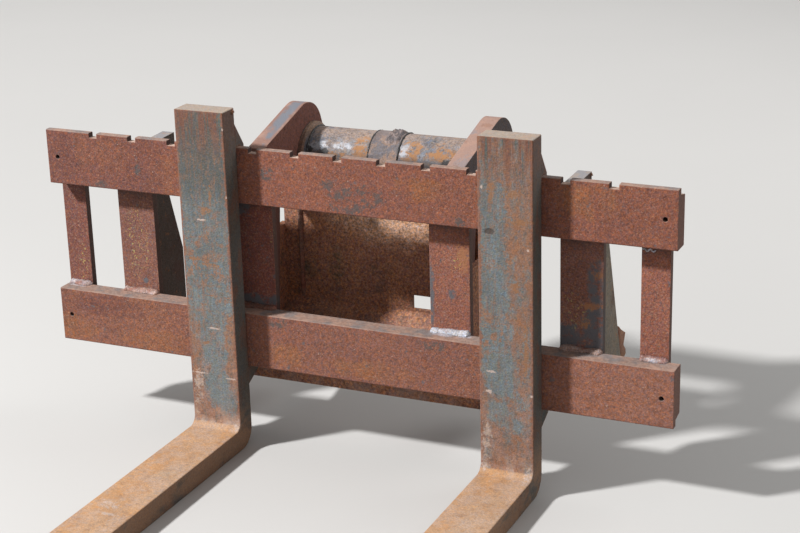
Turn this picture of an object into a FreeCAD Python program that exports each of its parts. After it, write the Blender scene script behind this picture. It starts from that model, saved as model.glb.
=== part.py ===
import FreeCAD, Part
import math
import os

os.makedirs("parts", exist_ok=True)

# A two-fork pallet carriage, in millimetres. X runs along the rails, +Y leads away from the
# blades towards the hitch and Z = 0 is the ground. Sections are drawn with Y = 0 on the rails'
# front face, and the finished pieces are moved so that the whole is centred over the origin.

# Rails of the hook-type carriage
RAIL_LENGTH = 1475.0
RAIL_DEPTH = 45.0
CARRIAGE_HEIGHT = 508.0
RAIL_GROUND = 184.5
UPPER_RAIL_HEIGHT = 126.0
LOWER_RAIL_HEIGHT = 127.0
LIP_THICK = 17.0
LIP_STEP = 14.0
SHOULDER_FALL = 6.0
RAIL_EDGE = 1.5
NOTCH_PITCH = 101.6
NOTCH_ROW_X = -3.5
NOTCH_COUNT = 13
NOTCH_WIDTH = 20.5
NOTCH_DEPTH = 11.0
STOP_HOLE_RADIUS = 5.25
STOP_HOLE_INSET = 26.0

# Forks
FORK_WIDTH = 120.0
FORK_THICK = 50.0
SHANK_HEIGHT = 782.0
BLADE_LENGTH = 1200.0
BLADE_FULL_LENGTH = 680.0
TIP_THICK = 12.0
TIP_WIDTH = 76.0
TIP_NARROWING = 210.0
TIP_CORNER = 26.0
HEEL_OUTER_RADIUS = 45.0
HEEL_INNER_RADIUS = 22.0
FORK_EDGE_RADIUS = 3.0
FORK_GAP = 5.0
LEFT_FORK_NOTCH = -3
RIGHT_FORK_NOTCH = 4
LEFT_FORK_STRAY = 6.0
RIGHT_FORK_STRAY = -6.5

# Hooks welded to the backs of the forks
HOOK_INSET = 3.0
HOOK_SEAT_GAP = 0.3
HOOK_LIP_GAP = 1.5
HOOK_TIP_THICK = 15.0
HOOK_TIP_DROP = 11.0
HOOK_PAD_HEIGHT = 50.0
UPPER_HOOK_RISE = 57.0
LOWER_HOOK_DROP = 44.0
LOWER_HOOK_TOE = 27.0
TOE_DROP = 20.0

# Posts between the rails
POST_THICK = 16.0
END_POST_WIDTH = 61.0
RIGHT_END_POST_INSET = 25.0
OUTER_POST_WIDTH = 93.0
LEFT_POST_GAP = 88.5
RIGHT_POST_GAP = 80.0
INNER_POST_WIDTH = 92.0
LEFT_INNER_POST_X = -282.0
RIGHT_INNER_POST_X = 185.0
POST_END_GAP = 8.0

# Ribs and gussets behind the outer posts
RIB_THICK = 30.0
RIB_DEPTH = 98.0
RIB_WAIST_DEPTH = 51.0
RIB_WAIST_HEIGHT = 540.0
RIB_SHOULDER_HEIGHT = 388.0
RIB_HEAD_DEPTH = 93.0
RIB_HEAD_HEIGHT = 667.0
RIB_HEAD_FALL = 31.0
RIB_FOOT_CUT = 24.0
GUSSET_THICK = 10.0
GUSSET_FOOT_DEPTH = 113.0
GUSSET_HEAD_DEPTH = 12.0
GUSSET_FOOT_HEIGHT = 28.0

# Ears that hold the hitch tube, each with a tapered leg down the back of an inner post
EAR_THICK = 40.0
LEFT_EAR_X = -211.0
RIGHT_EAR_X = 220.5
EAR_RISE = 67.5
LEFT_NOSE_Y = 268.5
RIGHT_NOSE_Y = 275.0
NOSE_RISE = 45.6
NOSE_RADIUS = 77.0
SADDLE_WALL = 11.0
ARM_DROP = 50.0
LEG_HEAD_Y = 125.0
LEG_FOOT_Y = 88.0

# Side plates outside the ears, which carry the back plate and the lock lugs
SIDE_PLATE_THICK = 16.0
SIDE_PLATE_TOP = 455.0
LUG_Y = 285.0
LUG_HEIGHT = 140.0
LUG_RADIUS = 45.0
LUG_SHOULDER_HEIGHT = 90.0
LOCK_BORE_RADIUS = 20.0
SPINE_LAND = 12.0

# Hitch tube with its rings and collar
TUBE_Y = 288.0
TUBE_HEIGHT = 608.0
TUBE_RADIUS = 64.5
TUBE_WALL = 7.0
TUBE_PROUD = 4.0
RING_RADIUS = 74.5
RING_WIDTH = 18.0
RING_SLOPE = 9.0
COLLAR_RADIUS = 66.5
COLLAR_X = -39.0
COLLAR_WIDTH = 69.0
SLEEVE_GAP = 0.3

# Bent back plate and the bottom beam that its lower edge meets
BACK_PLATE_Y = 213.0
BACK_PLATE_THICK = 8.0
BACK_PLATE_DROP = 78.0
BACK_PLATE_BEND = 280.0
WINDOW_X = 68.0
WINDOW_WIDTH = 44.0
WINDOW_BOTTOM = 287.0
WINDOW_HEIGHT = 33.0
BEAM_FRONT_Y = 84.0
BEAM_LENGTH = 680.0
BEAM_SIDE = 56.0
BEAM_WALL = 5.0
BEAM_BOTTOM = 124.0

# How far a cutting tool stands out of the faces that it cuts
CUT_PAST = 1.0

# Points nearer than this are one and the same
SAME_PLACE = 0.01

# Directions in a side view, in degrees from +Y
BACKWARDS = 0.0
UPWARDS = 90.0
DOWNWARDS = -90.0
DOWN_AND_BACK = -45.0
SADDLE_END = -100.0
NOSE_END = 20.0

# Heights that follow from the sizes above
LOWER_RAIL_TOP = RAIL_GROUND + LOWER_RAIL_HEIGHT
UPPER_RAIL_TOP = RAIL_GROUND + CARRIAGE_HEIGHT
UPPER_RAIL_BOTTOM = UPPER_RAIL_TOP - UPPER_RAIL_HEIGHT
POST_BACK = RAIL_DEPTH + POST_THICK
POST_BOTTOM = RAIL_GROUND + LIP_STEP + SHOULDER_FALL + POST_END_GAP
POST_TOP = UPPER_RAIL_TOP - LIP_STEP - SHOULDER_FALL - POST_END_GAP
SHANK_BACK = -FORK_GAP
SHANK_FRONT = SHANK_BACK - FORK_THICK
TIP_Y = SHANK_FRONT - BLADE_LENGTH
BACK_REACH = TUBE_Y + TUBE_RADIUS + SADDLE_WALL
CENTRE_SHIFT = -(TIP_Y + BACK_REACH) / 2
BACK_PLATE_TOP = TUBE_HEIGHT - BACK_PLATE_DROP


def point(x, y, z):
    return FreeCAD.Vector(x, y, z)


def side_outline(x, steps):
    """A closed face in the plane of X = x.

    Each step is a (y, z) corner, or an arc given as ((y, z) on the arc, (y, z) at its end).
    """
    edges = []
    here = point(x, *steps[0])
    first = here
    for step in steps[1:]:
        if isinstance(step[0], tuple):
            middle, end = step
            there = point(x, *end)
            edges.append(Part.Arc(here, point(x, *middle), there).toShape())
        else:
            there = point(x, *step)
            edges.append(Part.LineSegment(here, there).toShape())
        here = there
    if here.distanceToPoint(first) > SAME_PLACE:
        edges.append(Part.LineSegment(here, first).toShape())
    return Part.Face(Part.Wire(edges))


def across(x, width, steps):
    """A piece with the same (y, z) section from x to x + width."""
    return side_outline(x, steps).extrude(point(width, 0, 0))


def block(x, y, z, width, depth, height):
    return Part.makeBox(width, depth, height, point(x, y, z))


def on_circle(centre, radius, degrees):
    angle = math.radians(degrees)
    return (centre[0] + radius * math.cos(angle), centre[1] + radius * math.sin(angle))


def upper_tangent(start, centre, radius):
    """Angle on a circle at which a rising line from start touches its top."""
    run = centre[0] - start[0]
    rise = centre[1] - start[1]
    lift = math.asin(radius / math.hypot(run, rise))
    return math.degrees(math.atan2(rise, run) + lift + math.pi / 2)


def round_bar(x, length, y, z, radius):
    return Part.makeCylinder(radius, length, point(x, y, z), point(1, 0, 0))


def through_bar(x, length, y, z, radius):
    """Round bar for a hole, which stands out of both faces."""
    return round_bar(x - CUT_PAST, length + 2 * CUT_PAST, y, z, radius)


def rail_section(lip_edge, plain_edge):
    """Hook rail outline with broken edges. The lip edge carries the front lip."""
    up = 1 if lip_edge > plain_edge else -1
    shoulder = lip_edge - up * LIP_STEP
    edge = up * RAIL_EDGE
    return [
        (0, plain_edge + edge),
        (0, lip_edge - edge),
        (RAIL_EDGE, lip_edge),
        (LIP_THICK - RAIL_EDGE, lip_edge),
        (LIP_THICK, lip_edge - edge),
        (LIP_THICK, shoulder),
        (RAIL_DEPTH, shoulder - up * SHOULDER_FALL),
        (RAIL_DEPTH, plain_edge + edge),
        (RAIL_DEPTH - RAIL_EDGE, plain_edge),
        (RAIL_EDGE, plain_edge),
    ]


def rail(lip_edge, plain_edge):
    body = across(-RAIL_LENGTH / 2, RAIL_LENGTH, rail_section(lip_edge, plain_edge))
    middle = (lip_edge + plain_edge) / 2
    for side in (-1, 1):
        hole_x = side * (RAIL_LENGTH / 2 - STOP_HOLE_INSET)
        start = point(hole_x, -CUT_PAST, middle)
        length = RAIL_DEPTH + 2 * CUT_PAST
        body = body.cut(Part.makeCylinder(STOP_HOLE_RADIUS, length, start, point(0, 1, 0)))
    return body


def notch_x(number):
    """Centre of a notch, counted from the middle one."""
    return NOTCH_ROW_X + number * NOTCH_PITCH


def upper_rail():
    body = rail(UPPER_RAIL_TOP, UPPER_RAIL_BOTTOM)
    last = NOTCH_COUNT // 2
    for number in range(-last, last + 1):
        left = notch_x(number) - NOTCH_WIDTH / 2
        floor = UPPER_RAIL_TOP - NOTCH_DEPTH
        body = body.cut(block(left, -CUT_PAST, floor, NOTCH_WIDTH, RAIL_DEPTH, NOTCH_DEPTH + CUT_PAST))
    return body


def lower_rail():
    return rail(RAIL_GROUND, LOWER_RAIL_TOP)


def fork_section():
    """Side view of the forged shank and blade."""
    inner_centre = (SHANK_FRONT - HEEL_INNER_RADIUS, FORK_THICK + HEEL_INNER_RADIUS)
    outer_centre = (SHANK_BACK - HEEL_OUTER_RADIUS, HEEL_OUTER_RADIUS)
    return [
        (SHANK_BACK, SHANK_HEIGHT),
        (SHANK_FRONT, SHANK_HEIGHT),
        (SHANK_FRONT, inner_centre[1]),
        (on_circle(inner_centre, HEEL_INNER_RADIUS, DOWN_AND_BACK), (inner_centre[0], FORK_THICK)),
        (SHANK_FRONT - BLADE_FULL_LENGTH, FORK_THICK),
        (TIP_Y, TIP_THICK),
        (TIP_Y, 0),
        (outer_centre[0], 0),
        (on_circle(outer_centre, HEEL_OUTER_RADIUS, DOWN_AND_BACK), (SHANK_BACK, outer_centre[1])),
    ]


def fork_plan(centre_x):
    """Fork seen from above, narrowed towards a round-cornered tip, as an upright prism."""
    half = FORK_WIDTH / 2
    tip_half = TIP_WIDTH / 2
    corners = [
        point(centre_x - half, SHANK_BACK, 0),
        point(centre_x - half, TIP_Y + TIP_NARROWING, 0),
        point(centre_x - tip_half, TIP_Y, 0),
        point(centre_x + tip_half, TIP_Y, 0),
        point(centre_x + half, TIP_Y + TIP_NARROWING, 0),
        point(centre_x + half, SHANK_BACK, 0),
    ]
    outline = Part.Face(Part.makePolygon(corners + corners[:1]))
    prism = outline.extrude(point(0, 0, SHANK_HEIGHT))
    tip_edges = []
    for edge in prism.Edges:
        ends = [vertex.Point for vertex in edge.Vertexes]
        upright = abs(ends[0].z - ends[1].z) > SHANK_HEIGHT / 2
        if upright and abs(ends[0].y - TIP_Y) < SAME_PLACE:
            tip_edges.append(edge)
    return prism.makeFillet(TIP_CORNER, tip_edges)


def fork(centre_x):
    """Forged fork with its long edges rounded."""
    side = across(centre_x - FORK_WIDTH / 2, FORK_WIDTH, fork_section())
    long_edges = []
    for edge in side.Edges:
        ends = [vertex.Point for vertex in edge.Vertexes]
        if abs(ends[0].x - ends[1].x) < SAME_PLACE:
            long_edges.append(edge)
    return side.makeFillet(FORK_EDGE_RADIUS, long_edges).common(fork_plan(centre_x))


def hook(centre_x, steps):
    left = centre_x - FORK_WIDTH / 2 + HOOK_INSET
    return across(left, FORK_WIDTH - 2 * HOOK_INSET, steps)


def upper_hook(centre_x):
    seat = UPPER_RAIL_TOP + HOOK_SEAT_GAP
    inside = LIP_THICK + HOOK_LIP_GAP
    tip = UPPER_RAIL_TOP - HOOK_TIP_DROP
    return hook(centre_x, [
        (SHANK_BACK, UPPER_RAIL_TOP - HOOK_PAD_HEIGHT),
        (-HOOK_SEAT_GAP, UPPER_RAIL_TOP - HOOK_PAD_HEIGHT),
        (-HOOK_SEAT_GAP, seat),
        (inside, seat),
        (inside, tip),
        (inside + HOOK_TIP_THICK, tip),
        (inside + HOOK_TIP_THICK, UPPER_RAIL_TOP),
        (SHANK_BACK, UPPER_RAIL_TOP + UPPER_HOOK_RISE),
    ])


def lower_hook(centre_x):
    seat = RAIL_GROUND - HOOK_LIP_GAP
    inside = LIP_THICK + HOOK_LIP_GAP
    tip = RAIL_GROUND + HOOK_TIP_DROP
    return hook(centre_x, [
        (SHANK_BACK, RAIL_GROUND + HOOK_PAD_HEIGHT),
        (-HOOK_SEAT_GAP, RAIL_GROUND + HOOK_PAD_HEIGHT),
        (-HOOK_SEAT_GAP, seat),
        (inside, seat),
        (inside, tip),
        (inside + HOOK_TIP_THICK, tip),
        (inside + LOWER_HOOK_TOE, RAIL_GROUND),
        (inside + LOWER_HOOK_TOE, RAIL_GROUND - TOE_DROP),
        (SHANK_BACK, RAIL_GROUND - LOWER_HOOK_DROP),
    ])


def post(left, width):
    return block(left, RAIL_DEPTH, POST_BOTTOM, width, POST_THICK, POST_TOP - POST_BOTTOM)


def rib(left):
    """Waisted plate behind an outer post, with a head that stands above the rail's shoulder."""
    deep = POST_BACK + RIB_DEPTH
    waist = POST_BACK + RIB_WAIST_DEPTH
    head = POST_BACK + RIB_HEAD_DEPTH
    return across(left, RIB_THICK, [
        (POST_BACK, POST_BOTTOM),
        (deep - RIB_FOOT_CUT, POST_BOTTOM),
        (deep, POST_BOTTOM + RIB_FOOT_CUT),
        (deep, RIB_SHOULDER_HEIGHT),
        (waist, RIB_WAIST_HEIGHT),
        (waist, UPPER_RAIL_BOTTOM),
        (head, RIB_HEAD_HEIGHT - RIB_HEAD_FALL),
        (head, RIB_HEAD_HEIGHT),
        (POST_BACK, POST_TOP),
    ])


def gusset(left):
    """Slanted stiffener along the outer edge of an outer post."""
    return across(left, GUSSET_THICK, [
        (POST_BACK, POST_BOTTOM),
        (POST_BACK + GUSSET_FOOT_DEPTH, POST_BOTTOM),
        (POST_BACK + GUSSET_FOOT_DEPTH, POST_BOTTOM + GUSSET_FOOT_HEIGHT),
        (POST_BACK + GUSSET_HEAD_DEPTH, UPPER_RAIL_BOTTOM),
        (POST_BACK, UPPER_RAIL_BOTTOM),
    ])


def ear(left, nose_y):
    """Thick plate with a round nose, a seat for the tube and a leg that tapers towards its foot."""
    nose = (nose_y, TUBE_HEIGHT + NOSE_RISE)
    tube = (TUBE_Y, TUBE_HEIGHT)
    start = (POST_BACK, TUBE_HEIGHT + EAR_RISE)
    touch = upper_tangent(start, nose, NOSE_RADIUS)
    saddle = TUBE_RADIUS + SADDLE_WALL
    plate = across(left, EAR_THICK, [
        (POST_BACK, POST_BOTTOM),
        start,
        on_circle(nose, NOSE_RADIUS, touch),
        (on_circle(nose, NOSE_RADIUS, touch / 2 + NOSE_END), on_circle(nose, NOSE_RADIUS, NOSE_END)),
        on_circle(tube, saddle, NOSE_END),
        (on_circle(tube, saddle, DOWN_AND_BACK), on_circle(tube, saddle, SADDLE_END)),
        (LEG_HEAD_Y, TUBE_HEIGHT - ARM_DROP),
        (LEG_FOOT_Y, POST_BOTTOM),
    ])
    return plate.cut(through_bar(left, EAR_THICK, TUBE_Y, TUBE_HEIGHT, TUBE_RADIUS + SLEEVE_GAP))


def side_plate(left):
    """Plate from an inner post back past the back plate, with a lug below for the lock bore."""
    lug = (LUG_Y, LUG_HEIGHT)
    spine = BACK_PLATE_Y + BACK_PLATE_THICK + SPINE_LAND
    beam_back = BEAM_FRONT_Y + BEAM_SIDE
    plate = across(left, SIDE_PLATE_THICK, [
        (POST_BACK, POST_BOTTOM),
        (POST_BACK, SIDE_PLATE_TOP),
        (spine, SIDE_PLATE_TOP),
        (spine, LUG_HEIGHT + LUG_SHOULDER_HEIGHT),
        on_circle(lug, LUG_RADIUS, UPWARDS),
        (on_circle(lug, LUG_RADIUS, BACKWARDS), on_circle(lug, LUG_RADIUS, DOWNWARDS)),
        (beam_back, BEAM_BOTTOM),
        (beam_back, BEAM_BOTTOM + BEAM_SIDE),
    ])
    return plate.cut(through_bar(left, SIDE_PLATE_THICK, LUG_Y, LUG_HEIGHT, LOCK_BORE_RADIUS))


def hitch_tube():
    """Cross tube that passes through both ears."""
    start = LEFT_EAR_X - EAR_THICK - TUBE_PROUD
    length = RIGHT_EAR_X + EAR_THICK + TUBE_PROUD - start
    outside = round_bar(start, length, TUBE_Y, TUBE_HEIGHT, TUBE_RADIUS)
    return outside.cut(through_bar(start, length, TUBE_Y, TUBE_HEIGHT, TUBE_RADIUS - TUBE_WALL))


def sleeve(x, width, radius):
    """Ring round the hitch tube."""
    outside = round_bar(x, width, TUBE_Y, TUBE_HEIGHT, radius)
    return outside.cut(through_bar(x, width, TUBE_Y, TUBE_HEIGHT, TUBE_RADIUS + SLEEVE_GAP))


def ear_ring(ear_x, inwards):
    """Ring against an ear, sloped down towards the tube on its inward side."""
    land = RING_WIDTH - RING_SLOPE
    across_x = point(inwards, 0, 0)
    wide = Part.makeCylinder(RING_RADIUS, land, point(ear_x, TUBE_Y, TUBE_HEIGHT), across_x)
    slope_start = point(ear_x + inwards * land, TUBE_Y, TUBE_HEIGHT)
    slope = Part.makeCone(RING_RADIUS, RING_RADIUS - RING_SLOPE, RING_SLOPE, slope_start, across_x)
    start = min(ear_x, ear_x + inwards * RING_WIDTH)
    hole = through_bar(start, RING_WIDTH, TUBE_Y, TUBE_HEIGHT, TUBE_RADIUS + SLEEVE_GAP)
    return wide.fuse(slope).cut(hole)


def back_plate():
    """Plate between the side plates, bent forwards below so that it ends against the beam."""
    left = LEFT_EAR_X - EAR_THICK
    length = RIGHT_EAR_X + EAR_THICK - left
    back = BACK_PLATE_Y + BACK_PLATE_THICK
    beam_back = BEAM_FRONT_Y + BEAM_SIDE
    beam_top = BEAM_BOTTOM + BEAM_SIDE
    lean = math.atan2(BACK_PLATE_Y - beam_back, BACK_PLATE_BEND - beam_top)
    plate = across(left, length, [
        (BACK_PLATE_Y, BACK_PLATE_TOP),
        (back, BACK_PLATE_TOP),
        (back, BACK_PLATE_BEND - BACK_PLATE_THICK * math.tan(lean / 2)),
        (beam_back, beam_top - BACK_PLATE_THICK / math.sin(lean)),
        (beam_back, beam_top),
        (BACK_PLATE_Y, BACK_PLATE_BEND),
    ])
    depth = BACK_PLATE_THICK + 2 * CUT_PAST
    window_y = BACK_PLATE_Y - CUT_PAST
    window = block(WINDOW_X, window_y, WINDOW_BOTTOM, WINDOW_WIDTH, depth, WINDOW_HEIGHT)
    return plate.cut(window)


def bottom_beam():
    """Square tube under the back plate, longer than the gap between the side plates."""
    left = -BEAM_LENGTH / 2
    hollow = BEAM_SIDE - 2 * BEAM_WALL
    outside = block(left, BEAM_FRONT_Y, BEAM_BOTTOM, BEAM_LENGTH, BEAM_SIDE, BEAM_SIDE)
    inside = block(left - CUT_PAST, BEAM_FRONT_Y + BEAM_WALL, BEAM_BOTTOM + BEAM_WALL,
                   BEAM_LENGTH + 2 * CUT_PAST, hollow, hollow)
    return outside.cut(inside)


def pieces():
    half_length = RAIL_LENGTH / 2
    right_end_x = half_length - RIGHT_END_POST_INSET - END_POST_WIDTH
    left_outer_x = -half_length + END_POST_WIDTH + LEFT_POST_GAP
    right_outer_x = right_end_x - RIGHT_POST_GAP - OUTER_POST_WIDTH
    shapes = {
        "upper_rail": upper_rail(),
        "lower_rail": lower_rail(),
        "left_end_post": post(-half_length, END_POST_WIDTH),
        "right_end_post": post(right_end_x, END_POST_WIDTH),
        "left_outer_post": post(left_outer_x, OUTER_POST_WIDTH),
        "right_outer_post": post(right_outer_x, OUTER_POST_WIDTH),
        "left_inner_post": post(LEFT_INNER_POST_X, INNER_POST_WIDTH),
        "right_inner_post": post(RIGHT_INNER_POST_X, INNER_POST_WIDTH),
        "left_rib": rib(left_outer_x + OUTER_POST_WIDTH - RIB_THICK),
        "right_rib": rib(right_outer_x),
        "left_gusset": gusset(left_outer_x),
        "right_gusset": gusset(right_outer_x + OUTER_POST_WIDTH - GUSSET_THICK),
        "left_ear": ear(LEFT_EAR_X - EAR_THICK, LEFT_NOSE_Y),
        "right_ear": ear(RIGHT_EAR_X, RIGHT_NOSE_Y),
        "left_side_plate": side_plate(LEFT_EAR_X - EAR_THICK - SIDE_PLATE_THICK),
        "right_side_plate": side_plate(RIGHT_EAR_X + EAR_THICK),
        "hitch_tube": hitch_tube(),
        "left_ring": ear_ring(LEFT_EAR_X, 1),
        "right_ring": ear_ring(RIGHT_EAR_X, -1),
        "tube_collar": sleeve(COLLAR_X, COLLAR_WIDTH, COLLAR_RADIUS),
        "back_plate": back_plate(),
        "bottom_beam": bottom_beam(),
    }
    left_fork_x = notch_x(LEFT_FORK_NOTCH) + LEFT_FORK_STRAY
    right_fork_x = notch_x(RIGHT_FORK_NOTCH) + RIGHT_FORK_STRAY
    for side, fork_x in (("left", left_fork_x), ("right", right_fork_x)):
        shapes[side + "_fork"] = fork(fork_x)
        shapes[side + "_fork_upper_hook"] = upper_hook(fork_x)
        shapes[side + "_fork_lower_hook"] = lower_hook(fork_x)
    return shapes


for name, shape in pieces().items():
    shape.translate(point(0, CENTRE_SHIFT, 0))
    shape.exportStep("parts/" + name + ".step")
    print(name, "valid" if shape.isValid() else "BROKEN", round(shape.Volume))
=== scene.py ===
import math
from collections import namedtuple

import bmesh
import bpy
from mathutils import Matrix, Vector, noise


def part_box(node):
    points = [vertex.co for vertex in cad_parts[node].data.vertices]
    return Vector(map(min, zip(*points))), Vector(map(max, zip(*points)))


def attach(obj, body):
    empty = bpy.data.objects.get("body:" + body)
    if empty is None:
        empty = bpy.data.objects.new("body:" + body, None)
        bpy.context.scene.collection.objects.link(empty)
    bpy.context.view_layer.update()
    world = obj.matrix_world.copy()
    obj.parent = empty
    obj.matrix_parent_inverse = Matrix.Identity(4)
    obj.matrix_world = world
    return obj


bl_info = {
    "name": "Pallet fork carriage finish",
    "version": (1, 0, 0),
    "blender": (4, 5, 0),
    "location": "View3D > Sidebar > Carriage",
    "description": "Rust, welds, wear and a plain stage for a pallet fork carriage",
    "category": "Object",
}

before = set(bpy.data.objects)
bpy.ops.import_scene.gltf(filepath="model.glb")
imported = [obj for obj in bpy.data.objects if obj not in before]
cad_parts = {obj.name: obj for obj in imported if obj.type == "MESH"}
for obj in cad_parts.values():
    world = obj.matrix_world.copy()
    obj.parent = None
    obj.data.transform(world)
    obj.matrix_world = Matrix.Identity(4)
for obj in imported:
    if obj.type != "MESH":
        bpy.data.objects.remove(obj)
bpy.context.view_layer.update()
RAIL_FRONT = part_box("upper_rail")[0].y


def at(x, y, z):
    """A point given in millimetres, with y counted from the rails' front face."""
    return Vector((x / 1000, RAIL_FRONT + y / 1000, z / 1000))


def local_box(node):
    """A node's box in millimetres, with y counted from the rails' front face."""
    return [Vector((corner.x * 1000, (corner.y - RAIL_FRONT) * 1000, corner.z * 1000))
            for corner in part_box(node)]


# Places on the object, in millimetres

RAIL_DEPTH = local_box("upper_rail")[1].y
LOWER_RAIL_TOP = local_box("lower_rail")[1].z
UPPER_RAIL_BOTTOM = local_box("upper_rail")[0].z
POST_BACK = local_box("left_end_post")[1].y
TUBE_LOW, TUBE_HIGH = local_box("hitch_tube")
TUBE_Y = (TUBE_LOW.y + TUBE_HIGH.y) / 2
TUBE_Z = (TUBE_LOW.z + TUBE_HIGH.z) / 2
TUBE_RADIUS = (TUBE_HIGH.z - TUBE_LOW.z) / 2

# A blotch is an ellipsoid with a ragged border: its centre and how far it reaches each way
Blotch = namedtuple("Blotch", "x y z wide deep high")


def blotches(y, deep, *rows):
    """Blotches that share y and depth. A row gives x, z, width and height."""
    return tuple(Blotch(x, y, z, wide, deep, high) for x, z, wide, high in rows)


RAIL_MAROON = blotches(
    0, 90, (-715, 630, 75, 60), (-735, 270, 50, 60), (-500, 590, 60, 36), (-610, 280, 120, 26))
RAIL_FAIR = blotches(0, 90, (610, 250, 190, 80))
RAIL_ORANGE = blotches(
    0, 60, (-638, 655, 26, 45), (-566, 650, 46, 42), (-425, 610, 52, 44), (-700, 215, 60, 34),
    (-480, 212, 90, 26), (-150, 222, 46, 30), (60, 215, 110, 22), (190, 640, 60, 26), (560, 650, 70, 40))
RAIL_SLATE = blotches(
    0, 60, (-500, 622, 8, 26), (-600, 576, 20, 8), (34, 603, 60, 34), (-30, 628, 16, 14), (272, 580, 13, 11),
    (20, 578, 10, 9), (205, 296, 30, 13), (-165, 300, 26, 13), (-176, 640, 18, 16))
RAIL_POWDER = blotches(34, 14, (232, 313, 52, 10)) + blotches(36, 12, (-708, 313, 30, 10))
POST_LICHEN = blotches(
    45, 30, (-545, 430, 30, 85), (-696, 360, 16, 60), (-196, 490, 7, 34), (246, 478, 14, 26),
    (514, 402, 26, 46))
POST_SLATE = blotches(
    45, 30, (556, 455, 20, 56), (552, 360, 30, 78), (492, 335, 40, 36), (236, 400, 9, 10), (186, 380, 8, 80),
    (-530, 340, 8, 9), (-232, 330, 60, 14), (-270, 545, 26, 24))
POST_ORANGE = blotches(45, 30, (546, 412, 20, 9), (532, 372, 12, 10), (560, 480, 14, 9), (262, 484, 16, 30))
# A pool of sunlight painted on the back plate, where light falls over the upper rail
PLATE_PAINTED_SUNLIGHT = blotches(205, 14, (30, 500, 210, 84))
PLATE_DARK = blotches(210, 8, (-190, 352, 30, 26), (-118, 372, 22, 44))
EAR_YELLOW = blotches(132, 10, (-211, 492, 8, 12)) + blotches(126, 7, (-211, 474, 8, 14))
TUBE_ORANGE = (
    blotches(236, 50, (-60, 648, 24, 22)) + blotches(228, 40, (60, 632, 18, 15), (-112, 626, 30, 9))
    + blotches(240, 50, (64, 655, 26, 12)) + blotches(234, 50, (140, 646, 44, 17)))
# Pale patches on the tube: the one at x -104 is a painted highlight, the others are pale metal
TUBE_PALE_AND_HIGHLIGHT = (
    blotches(232, 30, (46, 648, 15, 13)) + blotches(230, 30, (-166, 642, 26, 12))
    + blotches(231, 30, (-104, 647, 26, 8)))
TUBE_CHIPS = blotches(229, 30, (-147, 633, 9, 8), (-186, 633, 8, 8), (150, 630, 11, 9))


def on_shank(deep, *rows):
    """Blotches on the front face of a fork's shank."""
    return blotches(-55, deep, *rows)


# What sets one fork's finish apart. dusk darkens its upper part, and shift moves its patches
ForkLook = namedtuple("ForkLook", "name middle dusk shift blue brown marks scratches pale dent")
FORK_LOOKS = (
    ForkLook(
        "left", -302.3, 0.75, 0.0,
        blue=on_shank(20, (-286, 130, 34, 50), (-310, 200, 26, 60)),
        brown=on_shank(60, (-350, 190, 22, 130), (-256, 215, 17, 95), (-305, 84, 70, 34))
        + on_shank(20, (-350, 462, 16, 12), (-322, 480, 9, 8)),
        marks=on_shank(20, (-334, 447, 16, 4), (-294, 436, 22, 3), (-296, 364, 18, 2.5), (-318, 250, 9, 5),
                       (-286, 592, 3, 24), (-302, 560, 14, 9)),
        scratches=on_shank(20, (-311, 538, 10, 2.4), (-296, 287, 15, 2.2), (-342, 176, 17, 1.8),
                           (-262, 171, 14, 2.0)) + on_shank(8, (-245, 745, 2, 3), (-245, 595, 2, 3)),
        pale=blotches(-56, 20, (-343, 146, 11, 34)) + blotches(-62, 24, (-352, 96, 9, 20))
        + blotches(-72, 20, (-250, 62, 12, 12)) + blotches(-483, 14, (-316, 48, 22, 14))
        + blotches(-520, 6, (-300, 48, 26, 14)),
        dent=()),
    ForkLook(
        "right", 396.4, 0.0, 40.0,
        blue=on_shank(20, (380, 188, 28, 26), (408, 166, 34, 18), (396, 246, 16, 40), (376, 296, 34, 40)),
        brown=on_shank(60, (432, 520, 32, 300), (396, 750, 75, 84), (396, 120, 75, 96), (400, 212, 34, 15),
                       (345, 190, 14, 100)),
        marks=on_shank(20, (366, 676, 9, 14), (412, 668, 20, 9), (418, 470, 9, 10), (366, 655, 6, 10),
                       (430, 610, 22, 7), (440, 330, 5, 60)),
        scratches=on_shank(20, (363, 279, 10, 2.6), (357, 234, 7, 4.0))
        + on_shank(8, (445, 552, 3, 2.5), (346, 676, 2.5, 4), (452, 236, 3, 3)),
        pale=blotches(-56, 20, (352, 120, 12, 36)) + blotches(-72, 20, (446, 62, 10, 14))
        + blotches(-64, 24, (346, 66, 8, 10)),
        dent=on_shank(20, (362, 584, 12, 6))),
)

# Posts from left to right: the node, its rust and the sort of weld at its foot
Post = namedtuple("Post", "name base weld")
POSTS = (
    Post("left_end_post", (0.205, 0.078, 0.061), "Powdery weld"),
    Post("left_outer_post", (0.23, 0.102, 0.078), "Pink weld"),
    # Its foot weld is the dark rusty one, as painted shade
    Post("left_inner_post", (0.225, 0.075, 0.06), "Rusty weld"),
    Post("right_inner_post", (0.295, 0.115, 0.08), "White weld"),
    Post("right_outer_post", (0.265, 0.118, 0.09), "Pink weld"),
    Post("right_end_post", (0.335, 0.128, 0.088), "Powdery weld"),
)

# Sorts of weld: the base colour, that of pale patches and the share that is rusted
WELD_LOOKS = {
    "Powdery weld": ((0.35, 0.27, 0.26), (0.45, 0.41, 0.43), 0.42),
    "White weld": ((0.42, 0.42, 0.45), (0.54, 0.54, 0.59), 0.22),
    "Pink weld": ((0.33, 0.205, 0.17), (0.43, 0.31, 0.27), 0.42),
    "Rusty weld": ((0.16, 0.085, 0.065), (0.23, 0.13, 0.095), 0.36),
}


# Settings that a user would change

def colour(name, description, value):
    return bpy.props.FloatVectorProperty(name=name, description=description, subtype="COLOR",
                                         size=3, min=0, max=1, default=value)


def number(name, description, value, **limits):
    return bpy.props.FloatProperty(name=name, description=description, default=value, min=0, **limits)


def length(name, description, value):
    return number(name, description, value, unit="LENGTH", precision=4)


def factor(name, description, value):
    return number(name, description, value, max=1, subtype="FACTOR")


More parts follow.
